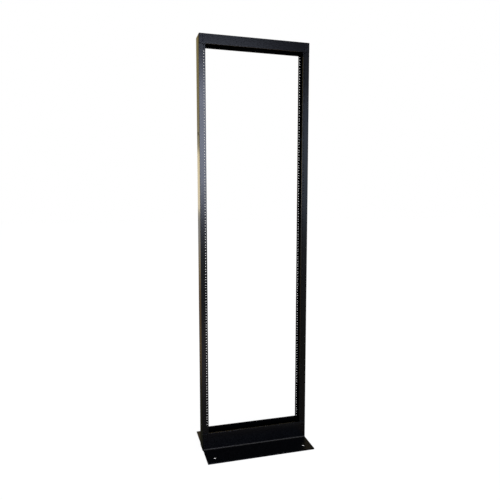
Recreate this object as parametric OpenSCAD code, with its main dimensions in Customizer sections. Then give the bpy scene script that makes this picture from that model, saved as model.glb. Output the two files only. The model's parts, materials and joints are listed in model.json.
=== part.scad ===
// Two post open frame rack.
// Two drilled channel uprights are screwed between a pair of base angles and a
// pair of top angles. Millimetres, Z up, front towards -Y, origin on the floor
// in the middle of the footprint.

/* [Rack space] */
// Rack units between the base angles and the top angles
rack_units = 48; // [24:1:60]
// Clear width between the flange edges of the two uprights
opening_w = 549.28; // [400:0.01:800]

/* [Uprights] */
// Width of each flange, from its edge to the outside of the web
flange_w = 36.51; // [30:0.01:60]
// Depth of the channel, front face to rear face
upright_depth = 76.2; // [70:0.1:160]
// Wall thickness of the web and the flanges
upright_wall = 4.76; // [3:0.01:7]
// Radius inside the two web corners
upright_fillet = 3.2; // [1:0.1:6]
// Radius on the outside corners
upright_round = 1.2; // [0.4:0.1:2.5]

/* [Rack holes] */
// Diameter of the holes in the flanges
rack_hole_d = 5.5; // [4:0.1:8]
// Distance from the flange edge to the line of holes
rack_hole_inset = 8.72; // [6:0.01:12]
// Height of one rack unit
unit_h = 44.45; // [44:0.01:50]
// Height of the first hole in each unit
first_hole = 6.35; // [5:0.01:7]
// Distance between the three holes in a unit
hole_pitch = 15.875; // [14:0.005:16]

/* [Web holes] */
// Diameter of the cable and earthing holes in the webs
web_hole_d = 22.2; // [8:0.1:40]
// Height of the lower web hole above the floor
web_hole_low = 361.95; // [200:0.05:450]
// Distance of the upper web hole below the top of the rack
web_hole_drop = 511.2; // [200:0.1:600]

/* [Top angles] */
// Height of the upright leg
top_leg_h = 50.8; // [40:0.1:80]
// Depth of the leg that lies on the uprights
top_leg_d = 38.1; // [20:0.1:38.5]
// Thickness of both legs
top_wall = 4.76; // [3:0.01:8]
// Radius on the edges of both toes
top_toe = 1.2; // [0.4:0.1:1.4]
// How far each end stops short of the outside of the webs
top_setback = 2; // [0:0.1:5]

/* [Base angles] */
// Height of the upright leg
base_leg_h = 101.6; // [90:0.1:160]
// Depth of the leg that lies on the floor
base_leg_d = 152.4; // [110:0.1:250]
// Thickness of both legs
base_wall = 6.35; // [5:0.01:9]
// Radius in the corner between the legs
base_fillet = 3.2; // [1:0.1:14]
// Radius on the inner edges of both toes
base_toe = 1; // [0.4:0.1:4.5]
// How far each end stops short of the outside of the webs
base_setback = 3.2; // [0:0.1:10]

/* [Screws] */
// Diameter of the countersunk frame screws
screw_d = 7.94; // [6:0.01:9]
// Clearance across each screw hole
screw_clearance = 0.4; // [0.1:0.1:1]
// Diameter of the countersink at the face of the angle
countersink_d = 15.5; // [12:0.1:15.5]
// Angle of the countersink
countersink_angle = 90; // [82:1:100]
// Distance between the two screws at each end of a top angle
top_screw_pitch = 22.2; // [18:0.1:24]
// Distance between the three screws at each end of a base angle
base_screw_pitch = 28; // [18:0.1:29]

/* [Floor anchors] */
// Diameter of the anchor holes
anchor_d = 17.46; // [10:0.01:26]
// Distance from the end of the base angle to the anchor holes
anchor_from_end = 47.6; // [30:0.1:120]
// Distance from the toe of the base angle to the anchor holes
anchor_from_toe = 50.8; // [25:0.1:60]

/* [Hidden] */

coat = [0.06, 0.065, 0.08];
base_coat = [0.05, 0.05, 0.055];

total_h = base_leg_h + rack_units * unit_h + top_leg_h;
outer_w = opening_w + 2 * flange_w;
upright_h = total_h - top_wall;
top_length = outer_w - 2 * top_setback;
base_length = outer_w - 2 * base_setback;

holes_per_unit = 3;
rack_hole_x = opening_w / 2 + rack_hole_inset;

// The screws stand in the middle of the inside face of a flange.
screw_x = opening_w / 2 + (flange_w - upright_wall) / 2;
screw_hole_d = screw_d + screw_clearance;
top_screws = [for (i = [-0.5, 0.5]) total_h - top_leg_h / 2 + i * top_screw_pitch];
base_flat_middle = (base_wall + base_fillet + base_leg_h) / 2;
base_screws = [for (i = [-1, 0, 1]) base_flat_middle + i * base_screw_pitch];

anchor_x = base_length / 2 - anchor_from_end;
anchor_y = upright_depth / 2 + base_leg_d - anchor_from_toe;

smooth = 64;
small_hole_smooth = 24;
cut_past = 1;

// ---- sections ----

// Rectangle with four round corners, centred on the origin.
module rounded_rect(width, depth, radius) {
    square([width - 2 * radius, depth], center = true);
    square([width, depth - 2 * radius], center = true);
    for (x = [-1, 1], y = [-1, 1])
        translate([x * (width / 2 - radius), y * (depth / 2 - radius)])
            circle(r = radius, $fn = smooth);
}

// Channel of the right upright in plan: web to the right, mouth to the left.
module upright_section() {
    pocket_w = flange_w - upright_wall;
    mouth = 2 * upright_fillet;
    translate([opening_w / 2, 0])
        difference() {
            translate([flange_w / 2, 0])
                rounded_rect(flange_w, upright_depth, upright_round);
            translate([(pocket_w - mouth) / 2, 0])
                rounded_rect(pocket_w + mouth, upright_depth - 2 * upright_wall, upright_fillet);
        }
}

// Material that fills the corner between two legs, or that a rounded toe loses.
module corner_fill(radius) {
    difference() {
        square(radius);
        translate([radius, radius]) circle(r = radius, $fn = smooth);
    }
}

// Angle with its heel on the origin: one leg along +X, one along +Y.
module angle_section(leg_x, leg_y, wall, fillet, toe) {
    difference() {
        union() {
            square([leg_x, wall]);
            square([wall, leg_y]);
            if (fillet > 0) translate([wall, wall]) corner_fill(fillet);
        }
        translate([leg_x, wall]) rotate(180) corner_fill(toe);
        translate([wall, leg_y]) rotate(180) corner_fill(toe);
    }
}

// Extrudes a section along X, with the section's X along Y and its Y along Z.
module along_x(length) {
    rotate([90, 0, 90]) linear_extrude(length, center = true) children();
}

// ---- holes ----

// Three holes for each rack unit, straight through both flanges.
module rack_holes() {
    for (u = [0 : rack_units - 1], i = [0 : holes_per_unit - 1])
        translate([rack_hole_x, 0, base_leg_h + u * unit_h + first_hole + i * hole_pitch])
            rotate([90, 0, 0])
                cylinder(h = upright_depth + 2 * cut_past, d = rack_hole_d,
                         center = true, $fn = small_hole_smooth);
}

// Clearance holes for the frame screws, through both flanges.
module flange_screw_holes() {
    for (z = concat(base_screws, top_screws))
        translate([screw_x, 0, z])
            rotate([90, 0, 0])
                cylinder(h = upright_depth + 2 * cut_past, d = screw_hole_d,
                         center = true, $fn = smooth);
}

module web_holes() {
    for (z = [web_hole_low, total_h - web_hole_drop])
        translate([outer_w / 2 - upright_wall - cut_past, 0, z])
            rotate([0, 90, 0])
                cylinder(h = upright_wall + 2 * cut_past, d = web_hole_d, $fn = smooth);
}

// Countersunk hole along -Y, with its mouth on the plane y = face.
module countersunk_hole(face, wall) {
    sink = (countersink_d - screw_hole_d) / 2 / tan(countersink_angle / 2);
    translate([0, face, 0])
        rotate([90, 0, 0]) {
            translate([0, 0, -cut_past])
                cylinder(h = wall + 2 * cut_past, d = screw_hole_d, $fn = smooth);
            translate([0, 0, -cut_past])
                cylinder(h = sink + cut_past,
                         d1 = countersink_d + 2 * cut_past * tan(countersink_angle / 2),
                         d2 = screw_hole_d, $fn = smooth);
        }
}

// A row of countersunk holes at both ends of an angle.
module angle_screw_holes(heights, face, wall) {
    for (x = [-screw_x, screw_x], z = heights)
        translate([x, 0, z]) countersunk_hole(face, wall);
}

module anchor_holes() {
    for (x = [-anchor_x, anchor_x])
        translate([x, anchor_y, -cut_past])
            cylinder(h = base_wall + 2 * cut_past, d = anchor_d, $fn = smooth);
}

// ---- parts, drawn on the right or at the rear ----

module upright() {
    color(coat)
        difference() {
            linear_extrude(upright_h) upright_section();
            rack_holes();
            flange_screw_holes();
            web_holes();
        }
}

module top_angle() {
    face = upright_depth / 2 + top_wall;
    color(coat)
        difference() {
            translate([0, face, total_h])
                along_x(top_length)
                    rotate(180) angle_section(top_leg_d, top_leg_h, top_wall, 0, top_toe);
            angle_screw_holes(top_screws, face, top_wall);
        }
}

module base_angle() {
    color(base_coat)
        difference() {
            translate([0, upright_depth / 2, 0])
                along_x(base_length)
                    angle_section(base_leg_d, base_leg_h, base_wall, base_fillet, base_toe);
            angle_screw_holes(base_screws, upright_depth / 2 + base_wall, base_wall);
            anchor_holes();
        }
}

module right_upright() { upright(); }
module left_upright() { mirror([1, 0, 0]) upright(); }
module top_rear_angle() { top_angle(); }
module top_front_angle() { mirror([0, 1, 0]) top_angle(); }
module base_rear_angle() { base_angle(); }
module base_front_angle() { mirror([0, 1, 0]) base_angle(); }

left_upright();
right_upright();
top_front_angle();
top_rear_angle();
base_front_angle();
base_rear_angle();
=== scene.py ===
import json
import math

import bmesh
import bpy
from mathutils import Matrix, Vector


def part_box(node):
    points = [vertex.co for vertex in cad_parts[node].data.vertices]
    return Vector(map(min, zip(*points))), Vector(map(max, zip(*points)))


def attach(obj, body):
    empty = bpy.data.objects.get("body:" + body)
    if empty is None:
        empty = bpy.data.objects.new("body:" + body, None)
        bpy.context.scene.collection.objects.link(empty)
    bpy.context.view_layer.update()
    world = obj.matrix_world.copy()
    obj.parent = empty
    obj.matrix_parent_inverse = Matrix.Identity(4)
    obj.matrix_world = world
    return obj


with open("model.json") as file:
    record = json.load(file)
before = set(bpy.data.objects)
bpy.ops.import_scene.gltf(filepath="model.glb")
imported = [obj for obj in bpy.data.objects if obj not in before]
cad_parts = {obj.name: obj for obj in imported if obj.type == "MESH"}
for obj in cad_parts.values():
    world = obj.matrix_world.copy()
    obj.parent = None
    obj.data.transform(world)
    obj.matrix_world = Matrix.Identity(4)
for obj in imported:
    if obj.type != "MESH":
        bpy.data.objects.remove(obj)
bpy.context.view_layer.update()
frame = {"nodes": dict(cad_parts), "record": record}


# ---------------------------------------------------------------- uprights
# Two channel-shaped aluminium extrusions, 4.76 mm thick, stood on end with their mouths facing each
# other, drilled and sprayed satin black. The coat is thin: faint lines from the extrusion die run up
# through it, it shows a fine orange peel, and the sharp corners are rubbed a little grey.

UPRIGHTS = ("left_upright", "right_upright")
UPRIGHT_BLACK = (0.0022, 0.0022, 0.0023, 1)
RUBBED_GREY = (0.030, 0.030, 0.032, 1)
# pale dust, also used for the painted highlight in inside corners
DUST_AND_HIGHLIGHT_PALE = (0.16, 0.145, 0.125, 1)
# the paler grey painted as a sheen along the top of the base angles' outer faces
TOE_SHEEN_GREY = (0.022, 0.021, 0.020, 1)
COAT_GLOSS = 0.20            # roughness of the coat where nothing has touched it
COAT_IOR = 1.27
PEEL_PER_METRE = 420         # one bump of the orange peel is about 2.4 mm across
PEEL_HEIGHT = 0.00001
CORNER_RADIUS = 0.0009       # rounding that the coat leaves on a sawn or sheared corner


def add_node(tree, kind, inputs=None, **settings):
    """Puts one node in a tree, sets it, and joins or fills its sockets."""
    made = tree.nodes.new(kind)
    for name, value in settings.items():
        setattr(made, name, value)
    for name, value in (inputs or {}).items():
        if isinstance(value, bpy.types.NodeSocket):
            tree.links.new(value, made.inputs[name])
        else:
            made.inputs[name].default_value = value
    return made


def sum_of(tree, a, b, operation="ADD"):
    """One sum on two numbers, either of which may be a socket."""
    return add_node(tree, "ShaderNodeMath", {0: a, 1: b}, operation=operation).outputs[0]


def mixed(tree, amount, first, second):
    """A colour between two others."""
    return add_node(
        tree, "ShaderNodeMix", {0: amount, 6: first, 7: second}, data_type="RGBA"
    ).outputs[2]


def new_group(name, kind, inputs, outputs):
    """An empty node group with named sockets, and its two ends."""
    tree = bpy.data.node_groups.new(name, kind)
    for label, socket, start in inputs:
        made = tree.interface.new_socket(label, in_out="INPUT", socket_type=socket)
        if start is not None:
            made.default_value = start
    for label, socket in outputs:
        tree.interface.new_socket(label, in_out="OUTPUT", socket_type=socket)
    return tree, tree.nodes.new("NodeGroupInput").outputs, tree.nodes.new("NodeGroupOutput").inputs


def join(tree, socket, end):
    tree.links.new(socket, end)


# Sprayed skin: orange peel, fine grain and lengthwise die lines as height, and cloudy handling marks.
coat_skin, given, result = new_group(
    "sprayed skin",
    "ShaderNodeTree",
    (
        ("Place", "NodeSocketVector", None),
        ("Coat", "NodeSocketColor", UPRIGHT_BLACK),
        ("Gloss", "NodeSocketFloat", COAT_GLOSS),
        ("Peel per metre", "NodeSocketFloat", PEEL_PER_METRE),
        ("Die lines", "NodeSocketFloat", 0.0),
        ("Handling", "NodeSocketFloat", 0.5),
    ),
    (
        ("Color", "NodeSocketColor"),
        ("Roughness", "NodeSocketFloat"),
        ("Height", "NodeSocketFloat"),
    ),
)
peel = add_node(
    coat_skin, "ShaderNodeTexNoise",
    {"Vector": given["Place"], "Scale": given["Peel per metre"], "Detail": 1.5, "Roughness": 0.45},
).outputs["Fac"]
grain_scale = sum_of(coat_skin, given["Peel per metre"], 5.5, "MULTIPLY")
grain = add_node(
    coat_skin, "ShaderNodeTexNoise",
    {"Vector": given["Place"], "Scale": grain_scale, "Detail": 2.0, "Roughness": 0.6},
).outputs["Fac"]
drawn = add_node(
    coat_skin, "ShaderNodeVectorMath",
    {0: given["Place"], 1: (330.0, 330.0, 1.6)}, operation="MULTIPLY",
).outputs[0]
die_line = add_node(
    coat_skin, "ShaderNodeTexNoise",
    {"Vector": drawn, "Scale": 1.0, "Detail": 2.5, "Roughness": 0.55},
).outputs["Fac"]
marks = add_node(
    coat_skin, "ShaderNodeTexNoise",
    {"Vector": given["Place"], "Scale": 6.5, "Detail": 4.0, "Roughness": 0.55, "Distortion": 0.7},
).outputs["Fac"]
cloud = add_node(
    coat_skin, "ShaderNodeMapRange",
    {"Value": marks, "From Min": 0.35, "From Max": 0.68, "To Min": -0.5, "To Max": 0.5},
).outputs[0]
handled = sum_of(coat_skin, cloud, given["Handling"], "MULTIPLY")
gloss_shift = sum_of(coat_skin, handled, 0.16, "MULTIPLY")
grain_shift = sum_of(coat_skin, sum_of(coat_skin, grain, 0.5, "SUBTRACT"), 0.04, "MULTIPLY")
join(
    coat_skin,
    sum_of(coat_skin, sum_of(coat_skin, given["Gloss"], gloss_shift), grain_shift),
    result["Roughness"],
)
tone = sum_of(coat_skin, sum_of(coat_skin, handled, 0.35, "MULTIPLY"), 1.0)
join(
    coat_skin,
    add_node(
        coat_skin, "ShaderNodeVectorMath",
        {0: given["Coat"], "Scale": tone}, operation="SCALE",
    ).outputs[0],
    result["Color"],
)
lines = sum_of(coat_skin, die_line, given["Die lines"], "MULTIPLY")
join(
    coat_skin,
    sum_of(coat_skin, sum_of(coat_skin, sum_of(coat_skin, grain, 0.22, "MULTIPLY"), peel), lines),
    result["Height"],
)

# Rubbed corners: where the surface turns sharply the coat is thin, and rubs through in patches.
rubbed_corners, given, result = new_group(
    "rubbed corners",
    "ShaderNodeTree",
    (
        ("Place", "NodeSocketVector", None),
        ("Corner radius", "NodeSocketFloat", CORNER_RADIUS),
        ("Wear", "NodeSocketFloat", 0.5),
    ),
    (("Mask", "NodeSocketFloat"), ("Normal", "NodeSocketVector")),
)
eased = add_node(
    rubbed_corners, "ShaderNodeBevel", {"Radius": given["Corner radius"]}, samples=6
).outputs[0]
flat = add_node(rubbed_corners, "ShaderNodeNewGeometry").outputs["Normal"]
turn = add_node(
    rubbed_corners, "ShaderNodeVectorMath", {0: eased, 1: flat}, operation="DOT_PRODUCT"
).outputs["Value"]
corner = add_node(
    rubbed_corners, "ShaderNodeMapRange",
    {"Value": turn, "From Min": 0.985, "From Max": 0.80, "To Min": 0.0, "To Max": 1.0},
).outputs[0]
patches = add_node(
    rubbed_corners, "ShaderNodeTexNoise",
    {"Vector": given["Place"], "Scale": 70.0, "Detail": 5.0, "Roughness": 0.65},
).outputs["Fac"]
through = add_node(
    rubbed_corners, "ShaderNodeMapRange",
    {"Value": patches, "From Min": 0.45, "From Max": 0.62, "To Min": 0.15, "To Max": 1.0},
).outputs[0]
join(
    rubbed_corners,
    sum_of(
        rubbed_corners,
        sum_of(rubbed_corners, corner, through, "MULTIPLY"),
        given["Wear"], "MULTIPLY",
    ),
    result["Mask"],
)
join(rubbed_corners, eased, result["Normal"])

# Settled dust and a painted crease highlight: a thin pale film of dust on what faces up, patchy, and a
# pale line painted into inside corners as a highlight.
dust_and_crease_highlight, given, result = new_group(
    "settled dust and painted crease highlight",
    "ShaderNodeTree",
    (
        ("Place", "NodeSocketVector", None),
        ("Amount", "NodeSocketFloat", 0.3),
        ("Crease highlight", "NodeSocketFloat", 0.0),
    ),
    (("Mask", "NodeSocketFloat"),),
)
facing = add_node(
    dust_and_crease_highlight, "ShaderNodeSeparateXYZ",
    {0: add_node(dust_and_crease_highlight, "ShaderNodeNewGeometry").outputs["Normal"]},
).outputs["Z"]
upward = add_node(
    dust_and_crease_highlight, "ShaderNodeMapRange",
    {"Value": facing, "From Min": 0.55, "From Max": 0.98, "To Min": 0.0, "To Max": 1.0},
).outputs[0]
dust_and_highlight = add_node(
    dust_and_crease_highlight, "ShaderNodeTexNoise",
    {"Vector": given["Place"], "Scale": 24.0, "Detail": 6.0, "Roughness": 0.6, "Distortion": 0.4},
).outputs["Fac"]
specks = add_node(
    dust_and_crease_highlight, "ShaderNodeTexNoise",
    {"Vector": given["Place"], "Scale": 900.0, "Detail": 2.0, "Roughness": 0.7},
).outputs["Fac"]
lying = add_node(
    dust_and_crease_highlight, "ShaderNodeMapRange",
    {"Value": sum_of(dust_and_crease_highlight, dust_and_highlight, specks, "MULTIPLY"),
     "From Min": 0.17, "From Max": 0.42, "To Min": 0.1, "To Max": 1.0},
).outputs[0]
open_sky = add_node(
    dust_and_crease_highlight, "ShaderNodeAmbientOcclusion", {"Distance": 0.007}, samples=8, only_local=True
).outputs["AO"]
tucked_in = add_node(
    dust_and_crease_highlight, "ShaderNodeMapRange",
    {"Value": open_sky, "From Min": 0.93, "From Max": 0.68, "To Min": 0.0, "To Max": 1.0},
).outputs[0]
# the pale line in inside corners is a painted highlight
crease_highlight_mask = sum_of(dust_and_crease_highlight, tucked_in, given["Crease highlight"], "MULTIPLY")
settled = sum_of(
    dust_and_crease_highlight, sum_of(dust_and_crease_highlight, lying, upward, "MULTIPLY"), given["Amount"], "MULTIPLY"
)
join(dust_and_crease_highlight, sum_of(dust_and_crease_highlight, settled, crease_highlight_mask, "MAXIMUM"), result["Mask"])


# Painted toe sheen: a painted highlight that turns the outer face of a leg paler in its top few
# centimetres, more to one side.
painted_toe_sheen, given, result = new_group(
    "painted toe sheen",
    "ShaderNodeTree",
    (
        ("Place", "NodeSocketVector", None),
        ("Toe height", "NodeSocketFloat", 0.1016),
        ("Reach", "NodeSocketFloat", 0.03),
        ("Amount", "NodeSocketFloat", 0.5),
    ),
    (("Mask", "NodeSocketFloat"),),
)
at = add_node(painted_toe_sheen, "ShaderNodeSeparateXYZ", {0: given["Place"]}).outputs
looks = add_node(
    painted_toe_sheen, "ShaderNodeSeparateXYZ",
    {0: add_node(painted_toe_sheen, "ShaderNodeNewGeometry").outputs["Normal"]},
).outputs["Y"]
outside = add_node(
    painted_toe_sheen, "ShaderNodeMapRange",
    {"Value": sum_of(painted_toe_sheen, looks, at["Y"], "MULTIPLY"),
     "From Min": 0.02, "From Max": 0.04, "To Min": 0.0, "To Max": 1.0},
).outputs[0]
low_end = sum_of(painted_toe_sheen, given["Toe height"], given["Reach"], "SUBTRACT")
up_the_toe = add_node(
    painted_toe_sheen, "ShaderNodeMapRange",
    {"Value": at["Z"], "From Min": low_end, "From Max": given["Toe height"],
     "To Min": 0.0, "To Max": 1.0},
    interpolation_type="SMOOTHSTEP",
).outputs[0]
along_the_leg = add_node(
    painted_toe_sheen, "ShaderNodeMapRange",
    {"Value": at["X"], "From Min": -0.25, "From Max": 0.3, "To Min": 0.1, "To Max": 1.0},
).outputs[0]
lengthwise = add_node(
    painted_toe_sheen, "ShaderNodeVectorMath",
    {0: given["Place"], 1: (18.0, 18.0, 110.0)}, operation="MULTIPLY",
).outputs[0]
streaks = add_node(
    painted_toe_sheen, "ShaderNodeTexNoise",
    {"Vector": lengthwise, "Scale": 1.0, "Detail": 4.0, "Roughness": 0.6},
).outputs["Fac"]
reached = sum_of(painted_toe_sheen, up_the_toe, outside, "MULTIPLY")
doubled = sum_of(painted_toe_sheen, streaks, 2.0, "MULTIPLY")
broken_up = sum_of(painted_toe_sheen, along_the_leg, doubled, "MULTIPLY")
toe_sheen = sum_of(painted_toe_sheen, reached, broken_up, "MULTIPLY")
join(painted_toe_sheen, sum_of(painted_toe_sheen, toe_sheen, given["Amount"], "MULTIPLY"), result["Mask"])


def use_group(tree, group, inputs):
    return add_node(tree, "ShaderNodeGroup", inputs, node_tree=group).outputs


def coated_metal(
    name, black, gloss, die_lines, handling, wear, dust,
    sheen=COAT_IOR, crease_highlight=0.0, toe_sheen=0.0, toe_height=0.1,
):
    """Satin black sprayed aluminium, with its own mix of die lines, handling, wear and dust, and where
    asked a painted sheen on the toe and a painted highlight in inside corners.
    """
    coat = bpy.data.materials.new(name)
    coat.use_nodes = True
    tree = coat.node_tree
    paint = tree.nodes["Principled BSDF"]
    place = add_node(tree, "ShaderNodeTexCoord").outputs["Object"]
    skin = use_group(tree, coat_skin, {
        "Place": place, "Coat": black, "Gloss": gloss, "Peel per metre": PEEL_PER_METRE,
        "Die lines": die_lines, "Handling": handling,
    })
    corners = use_group(
        tree, rubbed_corners, {"Place": place, "Corner radius": CORNER_RADIUS, "Wear": wear}
    )
    dust_and_highlight = use_group(
        tree, dust_and_crease_highlight, {"Place": place, "Amount": dust, "Crease highlight": crease_highlight}
    )
    toe_sheened = skin["Color"]
    if toe_sheen:
        toe = use_group(
            tree, painted_toe_sheen, {"Place": place, "Toe height": toe_height, "Amount": toe_sheen}
        )
        # a painted sheen: the top of the toe's outer face is painted paler
        toe_sheened = mixed(tree, toe["Mask"], toe_sheened, TOE_SHEEN_GREY)
    rubbed = mixed(tree, corners["Mask"], toe_sheened, RUBBED_GREY)
    # this pale colour is dust, and in inside corners a painted highlight
    join(tree, mixed(tree, dust_and_highlight["Mask"], rubbed, DUST_AND_HIGHLIGHT_PALE), paint.inputs["Base Color"])
    duller = sum_of(tree, dust_and_highlight["Mask"], 0.45, "MULTIPLY")
    join(tree, sum_of(tree, skin["Roughness"], duller), paint.inputs["Roughness"])
    join(
        tree,
        add_node(
            tree, "ShaderNodeBump",
            {"Height": skin["Height"], "Normal": corners["Normal"], "Strength": 1.0,
             "Distance": PEEL_HEIGHT},
        ).outputs[0],
        paint.inputs["Normal"],
    )
    paint.inputs["IOR"].default_value = sheen
    return coat


upright_coat = coated_metal(
    "upright_coat", UPRIGHT_BLACK, COAT_GLOSS,
    die_lines=0.4, handling=0.15, wear=0.5, dust=0.05,
)
for name in UPRIGHTS:
    frame["nodes"][name].material_slots[0].material = upright_coat


# ---------------------------------------------------------------- threads in the rack holes
# Every hole in the flanges is tapped right through, three holes to a rack unit, for the screws that
# hold the equipment. The tap cuts a fine thread and leaves the coat off its crests.

THREAD_PITCH = 0.001058
THREAD_TURNS = 3.5
THREAD_DEPTH = 0.00045
THREAD_STEPS = 8             # points to a turn
THREAD_ROOT = 0.0001         # how far the ridge is sunk into the wall of the hole
HOLES_A_UNIT = 3
ear = next(m for m in frame["record"]["mounts"] if m["name"] == "rack_holes_bottom")
hole_radius = ear["dims"]["hole_r_mm"] / 1000
hole_line = ear["dims"]["spacing_x_mm"] / 2000
hole_pitch = ear["dims"]["spacing_y_mm"] / 2000
UNIT_HEIGHT = 0.04445
lowest_hole = ear["pos_m"][2] - hole_pitch
upright_low, upright_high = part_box("left_upright")
base_low, base_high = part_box("base_front_angle")
top_low, top_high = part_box("top_front_angle")
UPRIGHT_WALL = 0.00476
flange_middle = upright_high.y - UPRIGHT_WALL / 2
units = round((top_low.z - base_high.z) / UNIT_HEIGHT)


def finished(shape, name):
    """A mesh from finished bmesh work: shared points merged, faces out, only true corners sharp."""
    bmesh.ops.remove_doubles(shape, verts=shape.verts, dist=1e-6)
    bmesh.ops.recalc_face_normals(shape, faces=shape.faces)
    for face in shape.faces:
        face.smooth = True
    for edge in shape.edges:
        if len(edge.link_faces) == 2 and edge.calc_face_angle() > math.radians(35):
            edge.smooth = False
    mesh = bpy.data.meshes.new(name)
    shape.to_mesh(mesh)
    shape.free()
    made = bpy.data.objects.new(name, mesh)
    bpy.context.scene.collection.objects.link(made)
    return made


def thread_ridge():
    """One hole's thread: a three-sided ridge wound round the wall of the hole, its axis along Y."""
    shape = bmesh.new()
    turns = []
    root = hole_radius + THREAD_ROOT
    steps = int(THREAD_TURNS * THREAD_STEPS)
    for step in range(steps + 1):
        angle = 2 * math.pi * step / THREAD_STEPS
        along = THREAD_PITCH * (step / THREAD_STEPS - THREAD_TURNS / 2)
        # the ridge runs in and out of the wall at its two ends
        ends = min(1.0, min(step, steps - step) / 2)
        crest = hole_radius - THREAD_DEPTH * ends
        ring = []
        for radius, shift in ((root, -0.45), (crest, 0.0), (root, 0.45)):
            ring.append(shape.verts.new((
                radius * math.cos(angle), along + shift * THREAD_PITCH, radius * math.sin(angle),
            )))
        turns.append(ring)
    for before, after in zip(turns, turns[1:]):
        for side in range(3):
            other = (side + 1) % 3
            shape.faces.new((before[side], before[other], after[other], after[side]))
    shape.faces.new(turns[0])
    shape.faces.new(reversed(turns[-1]))
    return finished(shape, "thread_ridge")


def placed_by(tree, name, values):
    """Runs a geometry tree on an empty mesh and keeps what it makes as a plain mesh."""
    made = bpy.data.objects.new(name, bpy.data.meshes.new(name + "_start"))
    bpy.context.scene.collection.objects.link(made)
    step = made.modifiers.new(name, "NODES")
    step.node_group = tree
    sockets = {
        item.name: item.identifier
        for item in tree.interface.items_tree
        if item.in_out == "INPUT"
    }
    for label, value in values.items():
        step[sockets[label]] = value
    bpy.context.view_layer.update()
    drawn_up = made.evaluated_get(bpy.context.evaluated_depsgraph_get())
    mesh = bpy.data.meshes.new_from_object(drawn_up)
    made.modifiers.clear()
    made.data = mesh
    mesh.name = name
    return made


def row_of_points(tree, count, start, step):
    return add_node(
        tree, "GeometryNodeMeshLine",
        {"Count": count, "Start Location": start, "Offset": step},
        mode="OFFSET",
    ).outputs["Mesh"]


def vector_of(tree, x=0.0, y=0.0, z=0.0):
    return add_node(tree, "ShaderNodeCombineXYZ", {"X": x, "Y": y, "Z": z}).outputs[0]


def set_on(tree, points, shape):
    """Copies of a shape on points, made real."""
    copies = add_node(
        tree, "GeometryNodeInstanceOnPoints", {"Points": points, "Instance": shape}
    ).outputs["Instances"]
    return add_node(tree, "GeometryNodeRealizeInstances", {0: copies}).outputs[0]


def shape_of(tree, socket):
    return add_node(tree, "GeometryNodeObjectInfo", {"Object": socket}).outputs["Geometry"]


rack_hole_rows, given, result = new_group(
    "rack hole rows",
    "GeometryNodeTree",
    (
        ("Shape", "NodeSocketObject", None),
        ("Units", "NodeSocketInt", 48),
        ("Unit height", "NodeSocketFloat", UNIT_HEIGHT),
        ("Holes a unit", "NodeSocketInt", HOLES_A_UNIT),
        ("Hole pitch", "NodeSocketFloat", 0.015875),
        ("Hole line", "NodeSocketFloat", 0.28),
        ("Lowest hole", "NodeSocketFloat", 0.1),
        ("Flange middle", "NodeSocketFloat", 0.035),
        ("Material", "NodeSocketMaterial", None),
    ),
    (("Mesh", "NodeSocketGeometry"),),
)
tree = rack_hole_rows
front_and_rear = row_of_points(
    tree, 2,
    vector_of(tree, given["Hole line"], sum_of(tree, given["Flange middle"], -1.0, "MULTIPLY"),
              given["Lowest hole"]),
    vector_of(tree, y=sum_of(tree, given["Flange middle"], 2.0, "MULTIPLY")),
)
every_unit = row_of_points(
    tree, given["Units"], (0.0, 0.0, 0.0), vector_of(tree, z=given["Unit height"])
)
in_a_unit = row_of_points(
    tree, given["Holes a unit"], (0.0, 0.0, 0.0), vector_of(tree, z=given["Hole pitch"])
)
every_hole = set_on(tree, set_on(tree, front_and_rear, every_unit), in_a_unit)
ridges = set_on(tree, every_hole, shape_of(tree, given["Shape"]))
join(
    tree,
    add_node(
        tree, "GeometryNodeSetMaterial", {"Geometry": ridges, "Material": given["Material"]}
    ).outputs[0],
    result["Mesh"],
)

tapped_thread = coated_metal(
    "tapped_thread", (0.010, 0.010, 0.010, 1), 0.38,
    die_lines=0.0, handling=0.3, wear=0.9, dust=0.2,
)
ridge = thread_ridge()
for name, side in (("left_rack_threads", -1), ("right_rack_threads", 1)):
    threads = placed_by(rack_hole_rows, name, {
        "Shape": ridge, "Units": units, "Unit height": UNIT_HEIGHT, "Holes a unit": HOLES_A_UNIT,
        "Hole pitch": hole_pitch, "Hole line": side * hole_line, "Lowest hole": lowest_hole,
        "Flange middle": flange_middle, "Material": tapped_thread,
    })
    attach(threads, "root")
bpy.data.objects.remove(ridge)


# ---------------------------------------------------------------- base angles
# Two wide unequal aluminium angles, coated like the uprights. Their tall legs clasp the feet of the
# uprights from outside and their long legs lie on the floor, where dust settles on them. The top of
# their outer faces carries a painted sheen, and their inside corners a painted highlight line.

base_coat = coated_metal(
    "base_angle_coat", (0.0006, 0.0008, 0.0014, 1), 0.24,
    die_lines=0.15, handling=0.3, wear=0.12, dust=0.006,
    sheen=1.24, crease_highlight=0.46, toe_sheen=0.22, toe_height=base_high.z,
)
for name in ("base_front_angle", "base_rear_angle"):
    frame["nodes"][name].material_slots[0].material = base_coat


# ---------------------------------------------------------------- screws and nuts of the base
# Countersunk socket screws go in flush through the angle and the flange, three at each corner. Inside
# the channel each has a washer and a hexagon nut. All are steel with a black oxide finish.

SHANK_RADIUS = 0.00397
HEAD_RADIUS = 0.00760
HEAD_SINK = 0.00012          # the head lies this far under the face of the angle
SOCKET_ACROSS = 0.00476
SOCKET_DEPTH = 0.0032
SCREW_THREAD = 0.00141
NUT_ACROSS = 0.0127
NUT_HEIGHT = 0.0067
WASHER_RADIUS = 0.0081
WASHER_THICKNESS = 0.0014
SCREW_PAST_NUT = 0.0022
ROUND_POINTS = 24
# the screws stand in the middle of the inside face of a flange
screw_line = (abs(upright_high.x) + abs(upright_low.x) - UPRIGHT_WALL) / 2


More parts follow.
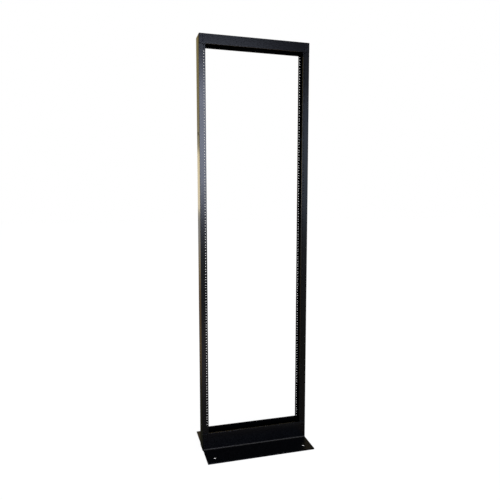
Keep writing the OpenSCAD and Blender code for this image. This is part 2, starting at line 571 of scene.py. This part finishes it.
def turned(name, rings, closed=False):
    """A shape turned about Y from rings of (distance along Y, radius, size across flats or None)."""
    shape = bmesh.new()
    loops = []
    for along, radius, across in rings:
        loop = []
        for point in range(ROUND_POINTS):
            angle = 2 * math.pi * point / ROUND_POINTS
            reach = radius
            if across:
                to_flat = across / 2 / math.cos((angle % (math.pi / 3)) - math.pi / 6)
                reach = min(radius, to_flat)
            loop.append(shape.verts.new((reach * math.cos(angle), along, reach * math.sin(angle))))
        loops.append(loop)
    pairs = list(zip(loops, loops[1:]))
    if closed:
        pairs.append((loops[-1], loops[0]))
    else:
        for loop, along in ((loops[0], rings[0][0]), (loops[-1], rings[-1][0])):
            pole = shape.verts.new((0, along, 0))
            for point in range(ROUND_POINTS):
                shape.faces.new((loop[point], loop[point - 1], pole))
    for before, after in pairs:
        for point in range(ROUND_POINTS):
            shape.faces.new((before[point - 1], before[point], after[point], after[point - 1]))
    return finished(shape, name)


def countersunk_screw(grip):
    """A flat-headed socket screw whose head is at Y 0, for a joint this thick."""
    end = grip + WASHER_THICKNESS + NUT_HEIGHT + SCREW_PAST_NUT
    cone = HEAD_RADIUS - SHANK_RADIUS
    rings = [
        (HEAD_SINK + SOCKET_DEPTH, SOCKET_ACROSS, SOCKET_ACROSS),
        (HEAD_SINK + 0.0002, SOCKET_ACROSS, SOCKET_ACROSS),
        (HEAD_SINK, SOCKET_ACROSS * 1.06, SOCKET_ACROSS * 1.06),
        (HEAD_SINK, HEAD_RADIUS - 0.0002, None),
        (HEAD_SINK + 0.0002, HEAD_RADIUS, None),
        (HEAD_SINK + 0.0003 + cone, SHANK_RADIUS, None),
    ]
    along = grip + WASHER_THICKNESS + NUT_HEIGHT - SCREW_THREAD
    while along < end - 0.6 * SCREW_THREAD:
        rings.append((along, SHANK_RADIUS, None))
        rings.append((along + 0.5 * SCREW_THREAD, SHANK_RADIUS - 0.00045, None))
        along += SCREW_THREAD
    rings.append((end - 0.0004, SHANK_RADIUS - 0.0002, None))
    rings.append((end, SHANK_RADIUS - 0.0007, None))
    return turned("countersunk_screw", rings)


def hexagon_nut(seat):
    """A chamfered nut round the shank, from the washer inwards."""
    start = seat + WASHER_THICKNESS
    bore = SHANK_RADIUS - 0.0001
    return turned("hexagon_nut", [
        (start, bore, None),
        (start, NUT_ACROSS * 0.48, None),
        (start + 0.0007, NUT_ACROSS, NUT_ACROSS),
        (start + NUT_HEIGHT - 0.0009, NUT_ACROSS, NUT_ACROSS),
        (start + NUT_HEIGHT, NUT_ACROSS * 0.48, None),
        (start + NUT_HEIGHT, bore + 0.0004, None),
        (start + NUT_HEIGHT - 0.0004, bore, None),
    ], closed=True)


def washer(seat):
    inner = SHANK_RADIUS + 0.00015
    edge = 0.0002
    return turned("washer", [
        (seat, inner, None),
        (seat, WASHER_RADIUS - edge, None),
        (seat + edge, WASHER_RADIUS, None),
        (seat + WASHER_THICKNESS - edge, WASHER_RADIUS, None),
        (seat + WASHER_THICKNESS, WASHER_RADIUS - edge, None),
        (seat + WASHER_THICKNESS, inner, None),
    ], closed=True)


# Corner joints: a row of fasteners up each upright on the front face, then the same turned to the rear.
corner_joints, given, result = new_group(
    "corner joints",
    "GeometryNodeTree",
    (
        ("Shape", "NodeSocketObject", None),
        ("Screw line", "NodeSocketFloat", 0.29),
        ("Face", "NodeSocketFloat", 0.044),
        ("Lowest screw", "NodeSocketFloat", 0.03),
        ("Screws", "NodeSocketInt", 3),
        ("Screw pitch", "NodeSocketFloat", 0.028),
        ("Material", "NodeSocketMaterial", None),
    ),
    (("Mesh", "NodeSocketGeometry"),),
)
tree = corner_joints
both_uprights = row_of_points(
    tree, 2,
    vector_of(tree, sum_of(tree, given["Screw line"], -1.0, "MULTIPLY"),
              sum_of(tree, given["Face"], -1.0, "MULTIPLY"), given["Lowest screw"]),
    vector_of(tree, x=sum_of(tree, given["Screw line"], 2.0, "MULTIPLY")),
)
up_the_leg = row_of_points(
    tree, given["Screws"], (0.0, 0.0, 0.0), vector_of(tree, z=given["Screw pitch"])
)
front_face = set_on(tree, set_on(tree, both_uprights, up_the_leg), shape_of(tree, given["Shape"]))
rear_face = add_node(
    tree, "GeometryNodeTransform", {"Geometry": front_face, "Rotation": (0.0, 0.0, math.pi)}
).outputs[0]
both_faces = tree.nodes.new("GeometryNodeJoinGeometry")
join(tree, front_face, both_faces.inputs[0])
join(tree, rear_face, both_faces.inputs[0])
real = add_node(tree, "GeometryNodeRealizeInstances", {0: both_faces.outputs[0]}).outputs[0]
join(
    tree,
    add_node(
        tree, "GeometryNodeSetMaterial", {"Geometry": real, "Material": given["Material"]}
    ).outputs[0],
    result["Mesh"],
)


def black_oxide(name, colour, gloss, wear):
    """Blackened steel: dark metal with a fine grain, rubbed brighter on its corners."""
    steel = bpy.data.materials.new(name)
    steel.use_nodes = True
    tree = steel.node_tree
    metal = tree.nodes["Principled BSDF"]
    place = add_node(tree, "ShaderNodeTexCoord").outputs["Object"]
    skin = use_group(tree, coat_skin, {
        "Place": place, "Coat": colour, "Gloss": gloss, "Peel per metre": 1400.0,
        "Die lines": 0.0, "Handling": 0.8,
    })
    corners = use_group(
        tree, rubbed_corners, {"Place": place, "Corner radius": 0.0003, "Wear": wear}
    )
    join(
        tree, mixed(tree, corners["Mask"], skin["Color"], (0.16, 0.155, 0.15, 1)),
        metal.inputs["Base Color"],
    )
    join(tree, skin["Roughness"], metal.inputs["Roughness"])
    join(
        tree,
        add_node(
            tree, "ShaderNodeBump",
            {"Height": skin["Height"], "Normal": corners["Normal"], "Strength": 1.0,
             "Distance": PEEL_HEIGHT},
        ).outputs[0],
        metal.inputs["Normal"],
    )
    metal.inputs["Metallic"].default_value = 1.0
    return steel


screw_steel = black_oxide("screw_black_oxide", (0.011, 0.011, 0.012, 1), 0.27, wear=0.25)
nut_steel = black_oxide("nut_black_oxide", (0.030, 0.030, 0.031, 1), 0.42, wear=0.6)


def fasten(where, face, flange, lowest, count, pitch):
    """Screws, washers and nuts for one end of the rack."""
    grip = face - flange
    for kind, shape, finish in (
        ("screws", countersunk_screw(grip), screw_steel),
        ("washers", washer(grip), nut_steel),
        ("nuts", hexagon_nut(grip), nut_steel),
    ):
        fixed = placed_by(corner_joints, where + "_" + kind, {
            "Shape": shape, "Screw line": screw_line, "Face": face, "Lowest screw": lowest,
            "Screws": count, "Screw pitch": pitch, "Material": finish,
        })
        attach(fixed, "root")
        bpy.data.objects.remove(shape)


flange_inside = upright_high.y - UPRIGHT_WALL
BASE_SCREW_PITCH = 0.028
BASE_SCREW_MIDDLE = 0.055575     # height of the middle screw above the floor
BASE_WALL = 0.00635
base_face = upright_high.y + BASE_WALL
fasten(
    "base", base_face, flange_inside,
    BASE_SCREW_MIDDLE - BASE_SCREW_PITCH, 3, BASE_SCREW_PITCH,
)


# ---------------------------------------------------------------- top angles
# Two small aluminium angles with a flange each way, coated like the rest. They tie the uprights
# together and lie with one leg over the ends of the channels.

top_coat = coated_metal(
    "top_angle_coat", UPRIGHT_BLACK, COAT_GLOSS,
    die_lines=0.1, handling=0.05, wear=0.5, dust=0.05,
)
for name in ("top_front_angle", "top_rear_angle"):
    frame["nodes"][name].material_slots[0].material = top_coat


# ---------------------------------------------------------------- screws and nuts of the top
# The same flush screws as in the base, two at each corner, through the angle and the flange.

TOP_SCREW_PITCH = 0.0222
top_face = -top_low.y
fasten(
    "top", top_face, flange_inside,
    (top_low.z + top_high.z - TOP_SCREW_PITCH) / 2, 2, TOP_SCREW_PITCH,
)


# ---------------------------------------------------------------- floor
# A plain pale studio floor that fades into the white background. It keeps the rack's soft shadow.

bpy.ops.mesh.primitive_plane_add(size=60)
floor = bpy.context.object
floor.name = "studio_floor"
pale = bpy.data.materials.new("pale_floor")
pale.use_nodes = True
tree = pale.node_tree
tree.nodes.remove(tree.nodes["Principled BSDF"])
rays = add_node(tree, "ShaderNodeLightPath").outputs
seen = sum_of(
    tree, sum_of(tree, rays["Is Camera Ray"], rays["Is Glossy Ray"], "MAXIMUM"),
    rays["Is Transmission Ray"], "MAXIMUM",
)
place = add_node(tree, "ShaderNodeTexCoord").outputs["Object"]
dusty = add_node(
    tree, "ShaderNodeTexNoise", {"Vector": place, "Scale": 3.0, "Detail": 4.0}
).outputs["Fac"]
matt = add_node(
    tree, "ShaderNodeBsdfDiffuse",
    {"Color": mixed(tree, dusty, (0.78, 0.78, 0.77, 1), (0.84, 0.84, 0.84, 1))},
).outputs[0]
# seen straight on the floor is almost all glow, and the little that it reflects keeps the shadow
faint = add_node(tree, "ShaderNodeBsdfDiffuse", {"Color": (0.22, 0.22, 0.22, 1)}).outputs[0]
glow = add_node(tree, "ShaderNodeEmission", {"Color": (1, 1, 1, 1), "Strength": 0.91}).outputs[0]
white = add_node(tree, "ShaderNodeAddShader", {0: faint, 1: glow}).outputs[0]
lit = add_node(tree, "ShaderNodeMixShader", {0: seen, 1: matt, 2: white}).outputs[0]
below = add_node(tree, "ShaderNodeNewGeometry").outputs["Backfacing"]
clear = add_node(tree, "ShaderNodeBsdfTransparent").outputs[0]
join(
    tree,
    add_node(tree, "ShaderNodeMixShader", {0: below, 1: lit, 2: clear}).outputs[0],
    tree.nodes["Material Output"].inputs["Surface"],
)
floor.data.materials.append(pale)
# glossy rays pass the floor and see the low part of the tinted room, so Is Glossy Ray does nothing here
floor.visible_glossy = False


# ---------------------------------------------------------------- light
# A large cool softbox stands well back in front and to the right, a small cool panel nearer, and a
# warm strip behind on the left. The room around is white to look at, but glossy rays don't see that
# white: they see a tinted room of their own, with a pale horizon, a warm wall and a dark ceiling.


def softbox(name, middle, aim, width, height, radiance, colour):
    """An area lamp that faces a point; its brightness is that of its white face."""
    lamp = bpy.data.lights.new(name, "AREA")
    lamp.shape = "RECTANGLE"
    lamp.size = width
    lamp.size_y = height
    lamp.energy = radiance * math.pi * width * height
    lamp.color = colour
    made = bpy.data.objects.new(name, lamp)
    made.location = middle
    made.rotation_euler = (Vector(aim) - Vector(middle)).to_track_quat("-Z", "Y").to_euler()
    made.visible_camera = False
    bpy.context.scene.collection.objects.link(made)
    return made


softbox(
    "front_softbox", middle=(2.58, -16.0, 3.84), aim=(2.58, 0.0, 3.84),
    width=4.06, height=5.08, radiance=20.2, colour=(0.73, 0.79, 1.0),
)
softbox(
    "cool_panel", middle=(1.99, -4.0, 2.0), aim=(1.99, 0.0, 2.0),
    width=1.14, height=1.68, radiance=2.0, colour=(0.56, 0.73, 1.0),
)
softbox(
    "rear_strip", middle=(-2.25, 11.0, 1.98), aim=(-2.25, 0.0, 1.98),
    width=3.4, height=1.7, radiance=1.45, colour=(1.0, 0.83, 0.53),
)

room = bpy.data.worlds.new("studio")
room.use_nodes = True
bpy.context.scene.world = room
tree = room.node_tree
direction = add_node(tree, "ShaderNodeTexCoord").outputs["Generated"]
rays = add_node(tree, "ShaderNodeLightPath").outputs
axes = add_node(tree, "ShaderNodeSeparateXYZ", {0: direction}).outputs
height = add_node(
    tree, "ShaderNodeMapRange",
    {"Value": axes["Z"], "From Min": -0.5, "From Max": 0.5, "To Min": 0.0, "To Max": 1.0},
).outputs[0]


def bands(tree, value, stops):
    """A colour ramp through the given stops."""
    ramp = add_node(tree, "ShaderNodeValToRGB", {0: value})
    marks = ramp.color_ramp.elements
    while len(marks) < len(stops):
        marks.new(0.5)
    for mark, (place, colour) in zip(marks, stops):
        mark.position = place
        mark.color = (*colour, 1)
    return ramp.outputs[0]


# from the floor up to the ceiling: what the coat mirrors behind the rack, and ahead of it
behind = bands(tree, height, (
    (0.06, (0.03, 0.03, 0.02)), (0.13, (0.05, 0.045, 0.03)), (0.21, (0.28, 0.19, 0.10)),
    (0.31, (0.27, 0.17, 0.09)), (0.37, (0.62, 0.48, 0.29)), (0.44, (0.70, 0.67, 0.62)),
    (0.60, (0.75, 0.65, 0.41)), (0.70, (0.61, 0.50, 0.24)), (0.80, (0.62, 0.50, 0.22)),
    (0.89, (0.90, 0.68, 0.38)), (0.92, (1.4, 1.1, 0.70)), (0.95, (1.4, 1.1, 0.70)),
    (0.98, (0.012, 0.020, 0.035)),
))
ahead = bands(tree, height, (
    (0.06, (0.17, 0.155, 0.13)), (0.10, (0.15, 0.14, 0.12)), (0.125, (0.29, 0.28, 0.26)),
    (0.25, (0.27, 0.33, 0.34)), (0.40, (0.45, 0.45, 0.43)),
    (0.50, (0.50, 0.55, 0.60)), (0.62, (0.40, 0.50, 0.65)), (0.71, (0.15, 0.18, 0.25)),
    (0.78, (0.05, 0.06, 0.09)), (0.90, (0.012, 0.020, 0.035)),
))
to_the_rear = add_node(
    tree, "ShaderNodeMapRange",
    {"Value": axes["Y"], "From Min": -0.35, "From Max": 0.35, "To Min": 0.0, "To Max": 1.0},
    interpolation_type="SMOOTHSTEP",
).outputs[0]
# a bright patch low in front of the rack, seen by glossy rays only
near_patch = add_node(
    tree, "ShaderNodeVectorMath",
    {0: direction, 1: (0.163, -0.934, -0.317)}, operation="DOT_PRODUCT",
).outputs["Value"]
patch = add_node(
    tree, "ShaderNodeMapRange",
    {"Value": near_patch, "From Min": 0.997, "From Max": 1.0, "To Min": 0.0, "To Max": 1.0},
    interpolation_type="SMOOTHSTEP",
).outputs[0]
# the warm wall behind is broken by a darker stretch to the right
dark_stretch = add_node(
    tree, "ShaderNodeVectorMath",
    {0: direction, 1: (0.30, 0.845, 0.44)}, operation="DOT_PRODUCT",
).outputs["Value"]
stretch = add_node(
    tree, "ShaderNodeMapRange",
    {"Value": dark_stretch, "From Min": 0.984, "From Max": 0.996, "To Min": 0.0, "To Max": 1.0},
    interpolation_type="SMOOTHSTEP",
).outputs[0]
wall = mixed(tree, stretch, behind, (0.12, 0.10, 0.08, 1))
# the low part of the room ahead is a shade warmer to the right
warm_side = add_node(
    tree, "ShaderNodeMapRange",
    {"Value": axes["X"], "From Min": 0.22, "From Max": 0.36, "To Min": 0.0, "To Max": 1.0},
    interpolation_type="SMOOTHSTEP",
).outputs[0]
low_ahead = add_node(
    tree, "ShaderNodeMapRange",
    {"Value": height, "From Min": 0.30, "From Max": 0.42, "To Min": 1.0, "To Max": 0.0},
).outputs[0]
warmed = add_node(
    tree, "ShaderNodeMix",
    {0: sum_of(tree, warm_side, low_ahead, "MULTIPLY"), 6: ahead, 7: (1.12, 0.86, 0.68, 1)},
    data_type="RGBA", blend_type="MULTIPLY",
).outputs[2]
mirrored = mixed(tree, patch, mixed(tree, to_the_rear, warmed, wall), (3.5, 3.15, 3.6, 1))
plain = add_node(
    tree, "ShaderNodeBackground", {"Color": (0.93, 0.96, 1.0, 1), "Strength": 0.45}
).outputs[0]
glossy = add_node(tree, "ShaderNodeBackground", {"Color": mirrored, "Strength": 1.0}).outputs[0]
white = add_node(
    tree, "ShaderNodeBackground", {"Color": (1, 1, 1, 1), "Strength": 1.0}
).outputs[0]
lit = add_node(
    tree, "ShaderNodeMixShader", {0: rays["Is Glossy Ray"], 1: plain, 2: glossy}
).outputs[0]
# the white background is for camera and transmission rays only, and glossy rays get the tinted room
open_view = sum_of(tree, rays["Is Camera Ray"], rays["Is Transmission Ray"], "MAXIMUM")
join(
    tree,
    add_node(tree, "ShaderNodeMixShader", {0: open_view, 1: lit, 2: white}).outputs[0],
    tree.nodes["World Output"].inputs["Surface"],
)
bpy.context.scene.view_settings.view_transform = "Standard"
# The rack holes are finer than the render's noise, so the noise filter works from unsmoothed guides.
bpy.context.scene.cycles.denoising_prefilter = "NONE"


# ---------------------------------------------------------------- camera
# The camera stands a little to the left of the rack at chest height and looks slightly down.

lens = bpy.data.cameras.new("camera")
lens.lens = 34.6073
lens.sensor_width = 36.0
camera = bpy.data.objects.new("camera", lens)
camera.location = (-0.749548, -2.619914, 1.412694)
camera.rotation_euler = (math.radians(84.218), 0.0, math.radians(-15.539))
bpy.context.scene.collection.objects.link(camera)
bpy.context.scene.camera = camera
